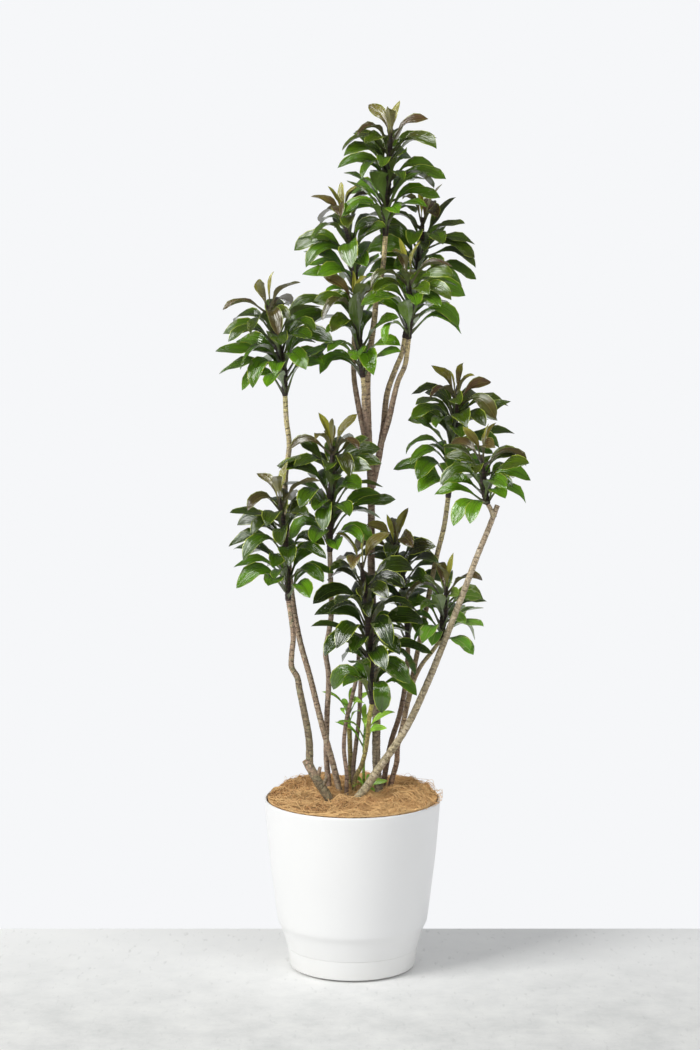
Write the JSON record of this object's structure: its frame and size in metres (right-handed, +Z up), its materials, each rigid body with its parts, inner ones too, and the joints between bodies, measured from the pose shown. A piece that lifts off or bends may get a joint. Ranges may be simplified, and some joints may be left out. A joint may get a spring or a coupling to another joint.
{
  "type": "potted plant",
  "caption": "Tall potted dracaena: bare ringed canes rise from a round white pot with a saucer and carry dense heads of glossy dark green leaves tipped with bronze young ones.",
  "frame": {"origin": "centre of the saucer underside, on the floor, on the centre line of the pot", "axes": "+Z up along the centre line of the pot and the plant; the picture is taken from -Y, with +X to the right"},
  "size_m": [0.5744, 0.3443, 1.6149],
  "materials": {
    "white_plastic": "smooth injection-moulded white plastic, satin",
    "potting_soil": "damp dark potting soil, crumbly",
    "coconut_fibre": "loose mat of tan coconut fibre",
    "bark": "light grey-brown ringed bark",
    "green_bark": "yellow-green young bark with brown ring scars",
    "dark_bark": "dark brown ringed bark",
    "old_bark": "grey-green old bark",
    "green_leaf": "glossy dark green leaf with a thin yellow-green edge",
    "pale_leaf": "glossy mid green leaf",
    "young_leaf": "young bronze to olive leaf, satin",
    "shoot_leaf": "thin bright green leaf"
  },
  "bodies": {
    "root": {"pot": "white_plastic", "saucer": "white_plastic", "soil": "potting_soil", "coir_mat": "coconut_fibre", "cane_left": "green_bark", "cane_inner_left": "bark", "cane_thin": "bark", "cane_behind": "dark_bark", "cane_stub": "green_bark", "cane_centre": "green_bark", "cane_back_right": "dark_bark", "cane_cut": "bark", "cane_stump": "old_bark", "cane_right": "green_bark", "trunk": "bark", "shoot_stem": "green_bark", "top_leaves": "green_leaf", "top_young": "young_leaf", "upper_left_leaves": "green_leaf", "upper_left_young": "young_leaf", "back_right_leaves": "green_leaf", "back_right_young": "young_leaf", "front_right_leaves": "green_leaf", "front_right_young": "young_leaf", "middle_leaves": "green_leaf", "middle_young": "young_leaf", "left_leaves": "green_leaf", "left_young": "young_leaf", "right_leaves": "green_leaf", "right_young": "young_leaf", "low_right_leaves": "green_leaf", "low_right_young": "young_leaf", "inner_left_leaves": "green_leaf", "inner_left_young": "young_leaf", "low_left_leaves": "green_leaf", "low_left_young": "young_leaf", "centre_leaves": "green_leaf", "centre_young": "young_leaf", "centre_right_leaves": "green_leaf", "centre_right_young": "young_leaf", "pale_leaves": "pale_leaf", "pale_young": "young_leaf", "shoot_left": "shoot_leaf", "shoot_right": "shoot_leaf", "shoot_low": "shoot_leaf"}
  },
  "joints": []
}
